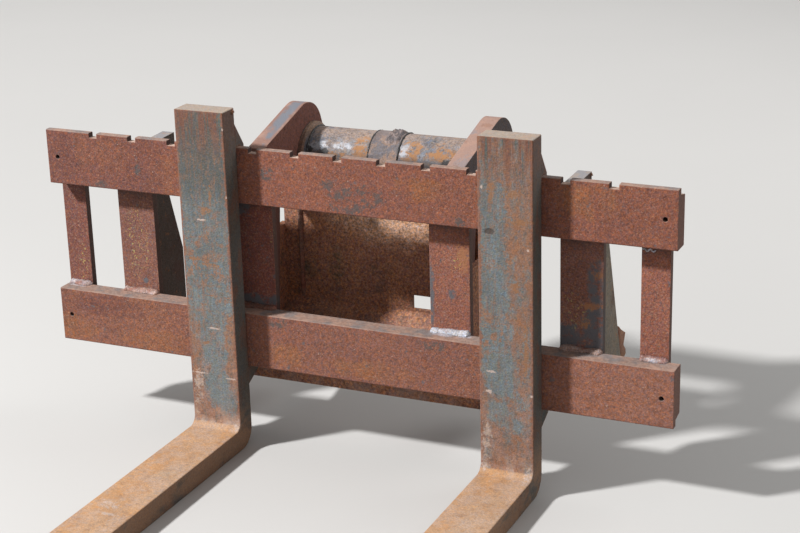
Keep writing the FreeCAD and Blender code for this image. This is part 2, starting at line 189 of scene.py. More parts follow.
class CarriageFinish(bpy.types.PropertyGroup):
    rust_red: colour("Rust red", "Main colour of the rails", (0.252, 0.094, 0.063))
    rust_maroon: colour("Maroon rust", "Purplish rust on sheltered ends", (0.165, 0.066, 0.055))
    rust_dark: colour("Dark rust", "Old rust in hollows and specks", (0.095, 0.044, 0.034))
    rust_brown: colour("Brown rust", "Thin rust over mill scale on the forks", (0.255, 0.135, 0.09))
    rust_orange: colour("Orange rust", "Fresh rust", (0.33, 0.135, 0.052))
    rust_tan: colour("Tan rust", "Rust polished by loads", (0.43, 0.265, 0.17))
    slate: colour("Slate", "Blue-grey skin left between the rust", (0.12, 0.125, 0.14))
    mill_blue: colour("Mill scale", "Blue-grey skin of the forks", (0.14, 0.165, 0.172))
    worn_pale: colour("Worn edge", "Pale pinkish metal on rubbed edges", (0.48, 0.31, 0.245))
    steel: colour("Bare steel", "Rubbed steel of the hitch tube", (0.232, 0.222, 0.232))
    grease: colour("Grease", "Dirty grease in gaps", (0.016, 0.014, 0.014))
    lichen: colour("Lichen", "Small yellow specks on the posts", (0.52, 0.44, 0.15))
    wear: factor("Edge wear", "How far wear shows along edges", 0.8)
    relief: factor("Relief", "Depth of pitting and grain", 0.6)


class CarriageWelds(bpy.types.PropertyGroup):
    ripple: length("Ripple", "Distance between two ripples of a bead", 0.0052)
    foot: length("Foot welds", "Leg of the welds where a post stands on the lower rail", 0.014)
    seam: length("Seams", "Leg of the welds between plates", 0.008)
    unevenness: factor("Unevenness", "How much a weld's size varies", 0.32)


class CarriageStage(bpy.types.PropertyGroup):
    floor: colour("Floor", "Colour of the floor", (0.6, 0.59, 0.575))
    key: number("Key light", "Power of the large lamp", 1140, unit="POWER")
    fill: number("Fill", "Strength of the surroundings", 0.32)


SETTINGS = {"carriage_finish": CarriageFinish, "carriage_welds": CarriageWelds,
            "carriage_stage": CarriageStage}


# Node trees

class Graph:
    """Short calls for adding and joining the nodes of one tree."""

    def __init__(self, tree):
        self.tree = tree
        self.column = 0

    def add(self, kind, **options):
        """A node. Options whose names are its own properties are set, and the rest are inputs."""
        node = self.tree.nodes.new("ShaderNode" + kind)
        self.column += 1
        node.location = (self.column * 60, -(self.column % 9) * 120)
        for name in [key for key in options if hasattr(node, key)]:
            setattr(node, name, options.pop(name))
        for name, value in options.items():
            self.feed(node.inputs[name.replace("_", " ")], value)
        return node

    def feed(self, socket, value):
        if isinstance(value, bpy.types.NodeSocket):
            self.tree.links.new(value, socket)
        elif hasattr(socket.default_value, "__len__"):
            value = list(value)
            socket.default_value = value + [1.0] * (len(socket.default_value) - len(value))
        else:
            socket.default_value = value

    def through(self, node, values):
        """Feed the inputs that a node has in use, in order. Returns its output in use."""
        for socket, value in zip([socket for socket in node.inputs if socket.enabled], values):
            self.feed(socket, value)
        return next(socket for socket in node.outputs if socket.enabled)

    def math(self, operation, *values):
        return self.through(self.add("Math", operation=operation), values)

    def vector(self, operation, *values):
        return self.through(self.add("VectorMath", operation=operation), values)

    def mix(self, kind, *values):
        """A blend of two values of one kind. The amount comes first."""
        return self.through(self.add("Mix", data_type=kind, clamp_factor=True), values)

    def times(self, *values):
        total = values[0]
        for value in values[1:]:
            total = self.math("MULTIPLY", total, value)
        return total

    def span(self, value, low, high, to_low=0.0, to_high=1.0):
        """Smooth step of a value from low to high."""
        return self.add("MapRange", interpolation_type="SMOOTHSTEP", Value=value, From_Min=low,
                        From_Max=high, To_Min=to_low, To_Max=to_high).outputs[0]

    def noise(self, place, scale, detail=2.0, roughness=0.5):
        return self.add("TexNoise", Vector=place, Scale=scale, Detail=detail,
                        Roughness=roughness).outputs[0]

    def away(self, *arguments):
        """Noise that swings round nought."""
        return self.math("SUBTRACT", self.noise(*arguments), 0.5)

    def place(self):
        return self.add("TexCoord").outputs["Object"]

    def parts(self, value):
        return self.add("SeparateXYZ", Vector=value).outputs

    def group(self, name, **inputs):
        return self.add("Group", node_tree=bpy.data.node_groups[name], **inputs).outputs


def new_group(name, inputs, *outputs):
    """An empty group with named sockets. Returns its graph, its inputs and its output sockets.

    An input's kind follows its value: one number, three for a vector or four for a colour."""
    tree = bpy.data.node_groups.new(name, "ShaderNodeTree")
    for label, value in inputs.items():
        kind = {1: "Float", 3: "Vector", 4: "Color"}[len(value) if isinstance(value, tuple) else 1]
        socket = tree.interface.new_socket(label, in_out="INPUT", socket_type="NodeSocket" + kind)
        socket.default_value = value
    for label in outputs:
        kind = {"Normal": "Vector", "Colour": "Color"}.get(label, "Float")
        tree.interface.new_socket(label, in_out="OUTPUT", socket_type="NodeSocket" + kind)
    source, sink = tree.nodes.new("NodeGroupInput"), tree.nodes.new("NodeGroupOutput")
    return Graph(tree), source.outputs, sink.inputs


def make_grain():
    """Rust grain: specks of two sizes, pits and the height that goes with them."""
    g, given, sink = new_group("Rust grain", {"Scale": 1.0, "Shift": 0.0}, "Medium", "Coarse",
                               "Pits", "Height")
    place = g.vector("MULTIPLY_ADD", g.place(), given["Scale"], given["Shift"])
    fine = g.span(g.noise(place, 330.0, 2.0, 0.6), 0.32, 0.68)
    medium = g.span(g.noise(place, 105.0, 4.0, 0.66), 0.34, 0.66)
    coarse = g.span(g.noise(place, 26.0, 5.0, 0.6), 0.34, 0.66)
    cells = g.add("TexVoronoi", Vector=place, Scale=150.0)
    pits = g.span(cells.outputs["Distance"], 0.3, 0.08)
    rise = g.math("MULTIPLY_ADD", medium, 0.7, g.times(fine, 0.5))
    for label, value in (("Medium", medium), ("Coarse", coarse), ("Pits", pits),
                         ("Height", g.math("SUBTRACT", rise, g.times(pits, 0.5)))):
        g.feed(sink[label], value)


def make_mottle():
    """A colour made lighter, darker, warmer and cooler from spot to spot, as rust is."""
    g, given, sink = new_group("Mottle", {"Colour": (0.5, 0.5, 0.5, 1.0), "Amount": 1.0, "Hue": 0.5,
                                          "Scale": 1.0, "Shift": 0.0}, "Colour")
    place = g.vector("MULTIPLY_ADD", g.place(), given["Scale"], given["Shift"])
    tone = 0.0
    for scale, detail, weight in ((430.0, 1.0, 1.0), (230.0, 2.0, 1.25), (70.0, 4.0, 0.6),
                                  (14.0, 4.0, 0.35)):
        tone = g.math("MULTIPLY_ADD", g.away(place, scale, detail, 0.62), weight, tone)
    bright = g.math("MAXIMUM", g.math("MULTIPLY_ADD", tone, given["Amount"], 1.0), 0.25)
    warm = g.times(g.away(g.vector("ADD", place, (7, 7, 7)), 190.0, 4.0, 0.7), given["Hue"])
    red, green, blue = [g.math("MULTIPLY_ADD", warm, weight, 1.0) for weight in (1.2, 0.1, -1.7)]
    tint = g.add("CombineXYZ", X=red, Y=green, Z=blue).outputs[0]
    toned = g.vector("MULTIPLY", given["Colour"], tint)
    g.feed(sink["Colour"], g.vector("SCALE", toned, bright))


def make_patches():
    """Ragged patches that cover about the given amount of a surface."""
    g, given, sink = new_group("Patches", {"Scale": 10.0, "Amount": 0.5, "Softness": 0.06,
                                           "Stretch": (1, 1, 1), "Shift": 0.0}, "Mask")
    place = g.vector("MULTIPLY_ADD", g.place(), given["Stretch"], given["Shift"])
    middle = g.math("MULTIPLY_ADD", given["Amount"], -0.36, 0.68)
    low, high = [g.math(way, middle, given["Softness"]) for way in ("SUBTRACT", "ADD")]
    g.feed(sink["Mask"], g.span(g.noise(place, given["Scale"], 6.0, 0.66), low, high))


def make_zone():
    """A blotch round one place. Ragged is a noise that breaks its border up."""
    g, given, sink = new_group("Zone", {"Ragged": 0.5, "Centre": (0, 0, 0), "Reach": (0.1, 0.1, 0.1),
                                        "Raggedness": 2.4}, "Mask")
    away = g.vector("DIVIDE", g.vector("SUBTRACT", g.place(), given["Centre"]), given["Reach"])
    ragged = g.times(g.math("SUBTRACT", given["Ragged"], 0.5), given["Raggedness"])
    g.feed(sink["Mask"], g.span(g.math("ADD", g.vector("LENGTH", away), ragged), 1.2, 0.7))


def make_wear():
    """Rubbed edges: where a rounded normal leaves the true one, broken up by noise."""
    g, given, sink = new_group("Worn edges", {"Width": 0.003, "Amount": 0.8, "Scale": 45.0},
                               "Mask", "Normal")
    rounded = g.add("Bevel", samples=6, Radius=given["Width"]).outputs[0]
    flat = g.add("NewGeometry").outputs["Normal"]
    bend = g.math("SUBTRACT", 1.0, g.vector("DOT_PRODUCT", rounded, flat))
    broken = g.span(g.noise(g.place(), given["Scale"], 5.0, 0.7), 0.3, 0.62)
    g.feed(sink["Mask"], g.times(g.span(bend, 0.015, 0.16), g.times(broken, given["Amount"])))
    g.feed(sink["Normal"], rounded)


def make_faces():
    """Which way a face looks: masks for tops and for the sides that look along x."""
    g, given, sink = new_group("Facing", {}, "Top", "Side")
    axes = g.parts(g.add("NewGeometry").outputs["True Normal"])
    g.feed(sink["Top"], g.span(axes[2], 0.45, 0.75))
    g.feed(sink["Side"], g.span(g.math("ABSOLUTE", axes[0]), 0.55, 0.85))


def make_scratches():
    """Fine straight scratches in one direction."""
    g, given, sink = new_group("Scratches", {"Scale": 30.0, "Amount": 0.3, "Turn": (0, 0, 0),
                                             "Stretch": (1, 1, 0.04)}, "Mask")
    turned = g.add("VectorRotate", rotation_type="EULER_XYZ", Vector=g.place(),
                   Rotation=given["Turn"]).outputs[0]
    lines = g.noise(g.vector("MULTIPLY", turned, given["Stretch"]), given["Scale"], 2.0, 0.8)
    edge = g.math("MULTIPLY_ADD", given["Amount"], -0.2, 0.78)
    thin = g.span(lines, edge, g.math("ADD", edge, 0.03))
    g.feed(sink["Mask"], g.times(thin, g.span(g.noise(g.place(), 14.0, 3.0), 0.42, 0.64)))


GROUP_MAKERS = (make_grain, make_mottle, make_patches, make_zone, make_wear, make_faces,
                make_scratches)

EVEN = (1, 1, 1)

# Patches of one colour: size of the noise, share that they cover, softness of their borders,
# shift of the noise, strength, colour, stretch of the noise, and roughness and metallic if they change
Spots = namedtuple("Spots", "scale share soft shift strength over stretch rough metal",
                   defaults=(EVEN, None, None))


class Finish:
    """One material in the making: a colour that layers are laid over, and a rough relief."""

    def __init__(self, name, base, roughness, grain=(1.0, 0.0), metallic=0.0, specular=0.3, shift=0.0):
        self.material = bpy.data.materials.new(name)
        self.material.use_nodes = True
        tree = self.material.node_tree
        tree.nodes.clear()
        g = self.g = Graph(tree)
        self.shader = g.add("BsdfPrincipled", Specular_IOR_Level=specular)
        g.add("OutputMaterial", Surface=self.shader.outputs[0])
        self.colour, self.rough, self.metal, self.shift = base, roughness, metallic, shift
        self.top, self.side = g.group("Facing")
        self.not_side = g.math("SUBTRACT", 1.0, self.side)
        self.grain = g.group("Rust grain", Scale=grain[0], Shift=grain[1])
        self.relief = self.grain["Height"]
        self.x, self.y, self.z = g.parts(g.place())
        self.ragged = {False: g.noise(g.place(), 42.0, 5.0, 0.7),
                       True: g.noise(g.place(), 170.0, 3.0, 0.7)}

    def lay(self, masks, over, roughness=None, metallic=None):
        """Cover the finish with a colour where all masks are high."""
        amount = self.g.times(*masks)
        self.colour = self.g.mix("RGBA", amount, self.colour, over)
        if roughness is not None:
            self.rough = self.g.mix("FLOAT", amount, self.rough, roughness)
        if metallic is not None:
            self.metal = self.g.mix("FLOAT", amount, self.metal, metallic)

    def patches(self, scale, share, soft, shift, stretch=EVEN):
        return self.g.group("Patches", Scale=scale, Amount=share, Softness=soft,
                            Shift=shift + self.shift, Stretch=stretch)[0]

    def strew(self, *rows, within=()):
        """Lay patches of colour inside masks. A row gives what Spots lists."""
        for row in rows:
            spots = Spots(*row)
            mask = self.patches(spots.scale, spots.share, spots.soft, spots.shift, spots.stretch)
            self.lay((*within, mask, spots.strength), spots.over, spots.rough, spots.metal)

    def zones(self, rows, raggedness, small=False):
        """Union of several blotches. Small ones get a finer border."""
        total = None
        for row in rows:
            mask = self.g.group("Zone", Ragged=self.ragged[small], Centre=at(row.x, row.y, row.z),
                                Reach=(row.wide / 1000, row.deep / 1000, row.high / 1000),
                                Raggedness=raggedness)[0]
            total = mask if total is None else self.g.math("MAXIMUM", total, mask)
        return total

    def height(self, low, high):
        """Mask that grows from one height to another, in millimetres."""
        return self.g.span(self.z, low / 1000, high / 1000)

    def across(self, low, high):
        """Mask that grows from one x to another, in millimetres."""
        return self.g.span(self.x, low / 1000, high / 1000)

    def mottle(self, amount, hue, scale=1.0, shift=0.0):
        self.colour = self.g.group("Mottle", Colour=self.colour, Amount=amount, Hue=hue,
                                   Scale=scale, Shift=shift + self.shift)[0]

    def worn(self, width, strength, over, depth):
        """Rub the edges, as wide as given in metres, and join the layers."""
        edges = self.g.group("Worn edges", Width=width, Amount=looks().wear)
        self.lay((edges["Mask"], strength), over)
        return self.done(depth, Normal=edges["Normal"])

    def done(self, depth, **bump_inputs):
        """Join the layers to the shader. Depth is the relief's height in metres."""
        bump = self.g.add("Bump", **{"Strength": looks().relief, "Distance": depth,
                                     "Height": self.relief, **bump_inputs})
        for label, value in (("Base Color", self.colour), ("Roughness", self.rough),
                             ("Metallic", self.metal), ("Normal", bump.outputs[0])):
            self.g.feed(self.shader.inputs[label], value)
        return self.material


def looks():
    return bpy.context.scene.carriage_finish


def paint(material, *nodes):
    for name in nodes:
        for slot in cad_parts[name].material_slots:
            slot.material = material


# Materials

def rail_material():
    s = looks()
    f = Finish("Rail rust", s.rust_red, 0.88)
    g = f.g
    f.lay((f.height(330, 300), 0.5), (0.272, 0.132, 0.098))
    f.lay((f.zones(RAIL_MAROON, 1.4), 0.8), s.rust_maroon)
    f.strew((7, 0.44, 0.12, 0, 0.35, s.rust_maroon), (4, 0.36, 0.1, 3, 0.18, s.rust_orange, (1, 1, 0.5)))
    f.strew((22, 0.62, 0.16, 5, 0.55, s.rust_orange, (1.4, 1, 0.3)), within=[f.zones(RAIL_ORANGE, 2.0)])
    f.lay((f.zones(RAIL_FAIR, 1.2), 0.5), (0.365, 0.165, 0.115))
    f.lay((f.across(-380, -460), f.height(500, 520), 0.6), s.rust_maroon)
    f.strew((62, 0.38, 0.08, 41, 0.25, s.rust_maroon), (230, 0.32, 0.08, 9, 0.4, s.rust_dark),
            (150, 0.3, 0.08, 94, 0.35, (0.37, 0.12, 0.06)), (260, 0.26, 0.08, 21, 0.38, s.rust_tan))
    f.mottle(0.9, 1.0)
    f.strew((75, 0.52, 0.06, 51, 0.75, (0.085, 0.088, 0.088)), within=[f.zones(RAIL_SLATE, 3.0)])
    f.strew((60, 0.06, 0.03, 7, 0.7, s.slate), (110, 0.1, 0.03, 13, 0.65, (0.06, 0.036, 0.034)),
            (170, 0.05, 0.02, 33, 0.6, (0.5, 0.38, 0.31)))
    # Painted shade: the rails' sides darker, and the notch walls inside the ends much darker
    f.lay((f.side, 0.65), (0.11, 0.075, 0.064))
    inside_ends = g.span(g.math("ABSOLUTE", f.x), 0.737, 0.736)
    f.lay((f.side, inside_ends, 0.9), (0.05, 0.03, 0.028))
    f.lay((f.top,), (0.325, 0.225, 0.185))
    f.strew((40, 0.46, 0.05, 31, 0.8, (0.4, 0.245, 0.185)),
            (22, 0.4, 0.06, 2, 0.75, (0.2, 0.185, 0.185)), within=[f.top])
    f.strew((60, 0.7, 0.06, 61, 0.85, (0.5, 0.48, 0.52)), within=[f.top, f.zones(RAIL_POWDER, 1.8)])
    f.lay((f.top, f.height(672, 676), f.height(688, 685)), (0.58, 0.41, 0.33))
    f.lay((f.top, g.span(f.grain["Medium"], 0.2, 0.9), 0.25), s.rust_dark)
    return f.worn(0.0026, 0.75, (0.42, 0.245, 0.19), 0.001)


def post_material(name, base):
    s = looks()
    f = Finish(name, base, 0.88, (1.0, 5.0))
    f.strew((11, 0.46, 0.1, 1, 0.35, s.rust_maroon), (230, 0.34, 0.08, 19, 0.5, s.rust_dark),
            (260, 0.28, 0.08, 23, 0.42, s.rust_tan))
    f.mottle(1.0, 1.0, 1.0, 3.0)
    f.strew((60, 0.74, 0.08, 44, 0.92, s.slate), within=[f.zones(POST_SLATE, 2.2)])
    f.strew((80, 0.72, 0.08, 54, 0.85, (0.37, 0.165, 0.08)), within=[f.zones(POST_ORANGE, 3.4, True)])
    f.strew((70, 0.07, 0.03, 4, 0.7, s.slate), (120, 0.09, 0.03, 14, 0.6, (0.06, 0.036, 0.034)))
    f.strew((240, 0.2, 0.015, 9, 0.85, s.lichen, (1, 1, 0.75)), within=[f.zones(POST_LICHEN, 2.0)])
    # Painted shade: a dark band at the top of each post, under the upper rail
    f.strew((30, 0.7, 0.1, 64, 0.8, (0.06, 0.05, 0.048)), within=[f.height(525, 566)])
    # Painted shade on the posts' sides
    f.lay((f.side, 0.75), (0.07, 0.058, 0.052))
    return f.worn(0.0022, 0.45, s.worn_pale, 0.001)


def plate_material():
    f = Finish("Plate rust", (0.345, 0.155, 0.11), 0.9, (0.9, 2.0))
    f.strew((12, 0.46, 0.12, 36, 0.5, (0.235, 0.105, 0.078)))
    # Painted sunlight: a pale tan patch where the back plate is lit over the upper rail
    f.lay((f.zones(PLATE_PAINTED_SUNLIGHT, 0.8), 0.95), (0.74, 0.48, 0.35))
    f.strew((18, 0.42, 0.12, 6, 0.35, (0.46, 0.2, 0.085)),
            (150, 0.42, 0.07, 8, 0.5, (0.56, 0.28, 0.13)),
            (170, 0.38, 0.07, 28, 0.55, (0.14, 0.085, 0.065)))
    f.strew((80, 0.55, 0.12, 38, 0.65, (0.09, 0.092, 0.062)), within=[f.zones(PLATE_DARK, 1.6)])
    f.mottle(1.3, 1.1, 0.8, 4.0)
    f.strew((20, 0.18, 0.05, 12, 0.5, (0.1, 0.085, 0.07)))
    f.strew((16, 0.5, 0.1, 3, 0.4, (0.33, 0.27, 0.25)), within=[f.height(300, 190)])
    return f.worn(0.0026, 0.5, looks().worn_pale, 0.0012)


def brace_material(name, base, worn):
    """Grime over old paint on the ribs and gussets."""
    s = looks()
    f = Finish(name, base, 0.85, (1.1, 12.0))
    f.strew((13, 0.45, 0.1, 3, 0.5, worn, (1, 1, 0.5)), (9, 0.3, 0.06, 16, 0.5, s.rust_dark))
    f.mottle(0.9, 0.5, 1.0, 8.0)
    f.lay((f.top, 0.95), (0.285, 0.275, 0.285))
    f.strew((30, 0.36, 0.06, 5, 0.7, (0.36, 0.29, 0.24)), within=[f.top])
    f.strew((40, 0.12, 0.03, 26, 0.6, s.rust_orange))
    return f.worn(0.0022, 0.5, s.rust_brown, 0.0009)


def ear_material():
    s = looks()
    f = Finish("Ear finish", (0.19, 0.082, 0.062), 0.84, (0.9, 8.0))
    f.strew((7, 0.5, 0.12, 2, 0.6, s.rust_maroon), (90, 0.28, 0.05, 17, 0.5, s.rust_dark))
    # Painted shade on the right ear's outer face
    f.lay((f.across(258.5, 260.0),), (0.095, 0.074, 0.072))
    f.mottle(1.0, 0.8, 1.0, 6.0)
    rim = f.not_side
    f.lay((rim,), (0.35, 0.222, 0.18))
    f.strew((45, 0.4, 0.06, 41, 0.6, (0.42, 0.25, 0.19)), within=[rim])
    # Painted shade: the ears darker below about 560 mm
    f.lay((f.height(580, 530), 0.85), (0.12, 0.056, 0.043))
    f.lay((f.zones(EAR_YELLOW, 3.0, True), 0.85), (0.5, 0.44, 0.09))
    left, right = f.across(0, -50), f.across(-50, 0)
    f.strew((20, 0.62, 0.1, 73, 0.7, (0.235, 0.125, 0.098)), within=[rim, left])
    f.strew((15, 0.57, 0.05, 5, 0.92, (0.17, 0.186, 0.218), (0.8, 0.7, 0.7)),
            within=[rim, left, f.across(-249, -238), f.across(-213, -223)])
    f.strew((24, 0.36, 0.06, 15, 0.7, (0.25, 0.225, 0.235), (1, 0.6, 0.6)), within=[rim, right])
    f.strew((34, 0.24, 0.03, 9, 0.5, s.rust_brown), within=[rim])
    return f.worn(0.0032, 0.6, s.worn_pale, 0.0009)


def tube_material():
    s = looks()
    f = Finish("Hitch tube steel", s.steel, 0.6, (0.8, 4.0), 0.15, 0.4)
    f.strew((14, 0.52, 0.08, 1, 0.85, (0.12, 0.132, 0.16), (0.6, 1, 1), 0.55, 0.15),
            (24, 0.4, 0.06, 11, 0.7, (0.31, 0.225, 0.18), (0.7, 1, 1), 0.8, 0.0),
            (60, 0.36, 0.06, 16, 0.6, (0.11, 0.095, 0.095), EVEN, 0.7, 0.1))
    f.strew((26, 0.62, 0.1, 22, 0.75, (0.3, 0.225, 0.19), EVEN, 0.85, 0.0), within=[f.height(655, 668)])
    f.mottle(1.2, 0.6, 1.0, 2.0)
    f.strew((120, 0.34, 0.05, 14, 0.55, (0.4, 0.275, 0.195), EVEN, 0.85, 0.0))
    f.strew((75, 0.62, 0.07, 3, 0.9, (0.4, 0.195, 0.08), EVEN, 0.88, 0.0),
            within=[f.zones(TUBE_ORANGE, 2.6)])
    # Pale metal, and a painted highlight along the tube's front
    f.strew((80, 0.56, 0.06, 8, 0.75, (0.38, 0.395, 0.43), EVEN, 0.5, 0.2), within=[f.zones(TUBE_PALE_AND_HIGHLIGHT, 2.4)])
    f.strew((28, 0.66, 0.12, 71, 0.9, (0.05, 0.043, 0.043), (0.7, 1, 1), 0.6, 0.1),
            (45, 0.34, 0.06, 10, 0.7, (0.23, 0.125, 0.065), EVEN, 0.85, 0.0), within=[f.height(644, 620)])
    f.lay((f.zones(TUBE_CHIPS, 3.0, True), 0.95), s.grease, 0.6, 0.0)
    f.strew((150, 0.18, 0.04, 18, 0.6, (0.06, 0.045, 0.042), EVEN, 0.8, 0.0))
    return f.done(0.0006)


def collar_material():
    f = Finish("Collar", (0.125, 0.108, 0.112), 0.62, (0.7, 6.0), 0.1, 0.4)
    f.strew((20, 0.5, 0.08, 3, 0.7, (0.185, 0.165, 0.17), (0.5, 1, 1), 0.6),
            (34, 0.34, 0.05, 7, 0.75, (0.33, 0.22, 0.165), EVEN, 0.85),
            (14, 0.3, 0.06, 9, 0.8, (0.055, 0.048, 0.05), EVEN, 0.5))
    f.mottle(0.8, 0.5, 1.0, 1.0)
    f.lay((f.height(655, 676), 0.35), (0.33, 0.24, 0.21))
    return f.done(0.001)


def ring_material():
    f = Finish("Ring rust", (0.17, 0.1, 0.072), 0.75, (1.0, 13.0))
    g = f.g
    f.strew((24, 0.5, 0.08, 2, 0.6, (0.23, 0.12, 0.075)))
    f.lay((f.height(655, 680), 0.7), (0.3, 0.205, 0.15))
    f.mottle(1.0, 0.6, 1.0, 5.0)
    # Painted shade: the lower part of the ring's sloping face, dark grey-blue
    spoke = g.vector("MULTIPLY", g.vector("SUBTRACT", g.place(), at(0, TUBE_Y, TUBE_Z)), (0, 1, 1))
    slope = g.span(g.vector("LENGTH", spoke), 0.0712, 0.0695)
    f.lay((slope, f.height(672, 650), 0.9), (0.055, 0.058, 0.072), 0.5)
    f.strew((70, 0.16, 0.03, 5, 0.5, looks().worn_pale))
    return f.done(0.001)


def fork_material(look):
    s = looks()
    f = Finish(look.name.capitalize() + " fork steel", s.mill_blue, 0.66, (0.9, 1.0 + look.shift), 0.0,
               0.35, look.shift)
    g = f.g
    # The skin of mill scale, with its thin vertical streaks
    f.strew((9, 0.48, 0.12, 4, 0.8, (0.195, 0.236, 0.252), (1.2, 1, 0.4)),
            (15, 0.42, 0.1, 9, 0.5, (0.1, 0.114, 0.116), (1.2, 1, 0.5)),
            (110, 0.5, 0.1, 14, 0.3, (0.2, 0.185, 0.16), (1.3, 1, 0.14)),
            (90, 0.42, 0.1, 34, 0.4, (0.11, 0.125, 0.122), (1.3, 1, 0.1)))
    f.lay((f.height(540, 640), look.dusk), (0.075, 0.078, 0.07))
    # Rust over it: at its own places, in a fringe at the head, in streaks and in loose spots
    f.strew((60, 0.7, 0.12, 22, 0.9, s.rust_brown, (1.2, 1, 0.6), 0.86),
            (9, 0.42, 0.1, 42, 0.6, (0.33, 0.15, 0.078), (1, 1, 0.6), 0.86),
            (66, 0.34, 0.08, 32, 0.55, (0.145, 0.16, 0.155), (1, 1, 0.4)), within=[f.zones(look.brown, 2.6)])
    head = f.height(640, 770)
    f.strew((66, 0.6, 0.06, 5, 0.95, (0.18, 0.082, 0.058), (1.3, 1, 0.05), 0.86),
            (70, 0.36, 0.05, 15, 0.8, (0.075, 0.112, 0.106), (1.3, 1, 0.08)), within=[head])
    f.strew((95, 0.36, 0.06, 2, 0.45, (0.265, 0.125, 0.07), (1.4, 1, 0.1), 0.85),
            within=[g.span(f.grain["Coarse"], 0.1, 0.9)])
    loose = g.times(f.patches(10, 0.52, 0.1, 62, (1, 1, 0.6)), f.height(720, 560))
    f.strew((60, 0.33, 0.06, 12, 0.8, (0.3, 0.14, 0.075), (1.0, 1, 0.8), 0.88),
            (64, 0.2, 0.04, 72, 0.7, (0.3, 0.14, 0.075), (0.4, 1, 1.8), 0.88), within=[loose])
    f.strew((150, 0.26, 0.07, 17, 0.45, (0.3, 0.155, 0.09), (1, 1, 0.7), 0.88))
    across = g.math("ABSOLUTE", g.math("SUBTRACT", f.x, look.middle / 1000))
    wander = g.math("MULTIPLY_ADD", g.math("SUBTRACT", f.ragged[False], 0.5), 0.03, across)
    f.lay((g.span(wander, 0.0525, 0.057), 0.85), (0.25, 0.112, 0.072), 0.86)
    f.strew((40, 0.4, 0.1, 82, 0.5, (0.37, 0.215, 0.165), (1, 1, 0.6), 0.86), within=[f.height(330, 140)])
    f.strew((90, 0.22, 0.05, 47, 0.5, (0.085, 0.085, 0.08)))
    f.strew((60, 0.62, 0.1, 92, 0.85, (0.17, 0.2, 0.205), (1, 1, 0.5)), within=[f.zones(look.blue, 2.6)])
    broad = g.group("Worn edges", Width=0.01, Amount=1.0, Scale=40.0)["Mask"]
    f.lay((broad, 0.9), (0.245, 0.112, 0.072), 0.86)
    # The sides: painted shade makes them darker than the face, with rust patches laid over it
    f.lay((f.side, 0.92), (0.088, 0.098, 0.093), 0.84)
    f.strew((14, 0.42, 0.08, 9, 0.7, (0.125, 0.104, 0.082), (1, 1, 0.4)),
            (22, 0.36, 0.08, 29, 0.7, (0.165, 0.08, 0.054), (1, 1, 0.5)), within=[f.side])
    f.lay((f.side, head, 0.6), (0.16, 0.082, 0.062))
    f.lay((f.side, broad, 0.9), (0.215, 0.105, 0.068))
    f.mottle(0.5, 0.4, 1.0, 6.0)
    # The blade's top, the head's top and the heel
    blade = g.times(f.top, f.height(200, 100))
    f.lay((blade,), (0.5, 0.288, 0.15), 0.86)
    f.strew((6, 0.5, 0.16, 2, 0.7, (0.5, 0.245, 0.092), (1.5, 0.6, 1)),
            (9, 0.4, 0.14, 52, 0.45, (0.5, 0.345, 0.24), (1.3, 0.6, 1)),
            (14, 0.4, 0.12, 7, 0.35, (0.3, 0.175, 0.105), (1.5, 0.5, 1)),
            (5, 0.3, 0.1, 24, 0.4, (0.37, 0.33, 0.29), (1.2, 0.6, 1)),
            (70, 0.24, 0.06, 84, 0.4, (0.25, 0.13, 0.08)), within=[blade])
    crown = g.times(f.top, f.height(600, 750))
    f.lay((crown,), (0.35, 0.285, 0.235), 0.78)
    f.strew((34, 0.42, 0.06, 13, 0.6, (0.4, 0.275, 0.21)), within=[crown])
    f.strew((12, 0.66, 0.1, 25, 0.85, (0.33, 0.19, 0.115), (1, 0.5, 1)),
            within=[f.side, f.height(160, 40)])
    f.strew((30, 0.5, 0.08, 27, 0.5, (0.46, 0.33, 0.26)), within=[f.not_side, f.height(112, 62)])
    f.strew((60, 0.55, 0.06, 37, 0.8, (0.48, 0.37, 0.31)), within=[f.zones(look.pale, 3.0, True)])
    f.mottle(0.55, 0.5, 1.0, 2.0)
    # Marks of use. Both forks have their marks broken up by the same noise
    f.strew((140, 0.72, 0.06, 57 - look.shift, 0.8, (0.3, 0.145, 0.07), EVEN, 0.88),
            within=[f.zones(look.marks, 3.0, True)])
    f.lay((g.group("Scratches", Scale=60.0, Amount=0.3, Turn=(0.1, 0.5, 0.0))[0], 0.4), s.worn_pale)
    f.lay((f.zones(look.scratches, 2.6, True), 0.85), (0.56, 0.43, 0.37), 0.6)
    if look.dent:
        dent = f.zones(look.dent, 1.6, True)
        f.lay((dent, 0.8), (0.07, 0.052, 0.044))
        f.relief = g.math("MULTIPLY_ADD", dent, -4.0, f.relief)
    return f.worn(0.0028, 0.5, (0.42, 0.235, 0.155), 0.0008)


def weld_material(name, base, pale, rusted):
    s = looks()
    f = Finish(name, base, 0.78, (1.6, 3.0), specular=0.35)
    f.strew((38, 0.5, 0.08, 4, 1.0, pale), (24, rusted, 0.06, 8, 0.8, s.rust_red))
    f.mottle(1.2, 0.6, 1.2, 9.0)
    f.lay((f.grain["Pits"], 0.4), s.rust_dark)
    return f.done(0.0008)


def grease_material():
    f = Finish("Grease", looks().grease, 0.42, (0.8, 2.0), specular=0.5)
    f.strew((60, 0.36, 0.05, 2, 0.6, (0.06, 0.05, 0.046), EVEN, 0.7))
    return f.done(0.0008)


def torn_skin_material():
    f = Finish("Torn skin", (0.15, 0.125, 0.128), 0.6, (1.2, 7.0), specular=0.45)
    f.strew((50, 0.46, 0.06, 3, 0.8, (0.33, 0.24, 0.205), EVEN, 0.8),
            (80, 0.34, 0.05, 6, 0.85, (0.045, 0.04, 0.042), (1, 0.5, 0.5), 0.5))
    f.mottle(0.8, 0.4)
    return f.done(0.0012, Strength=0.7)


# Meshes

def placed(name, data):
    """A new object of the scene that shows this data."""
    obj = bpy.data.objects.new(name, data)
    bpy.context.scene.collection.objects.link(obj)
    return obj


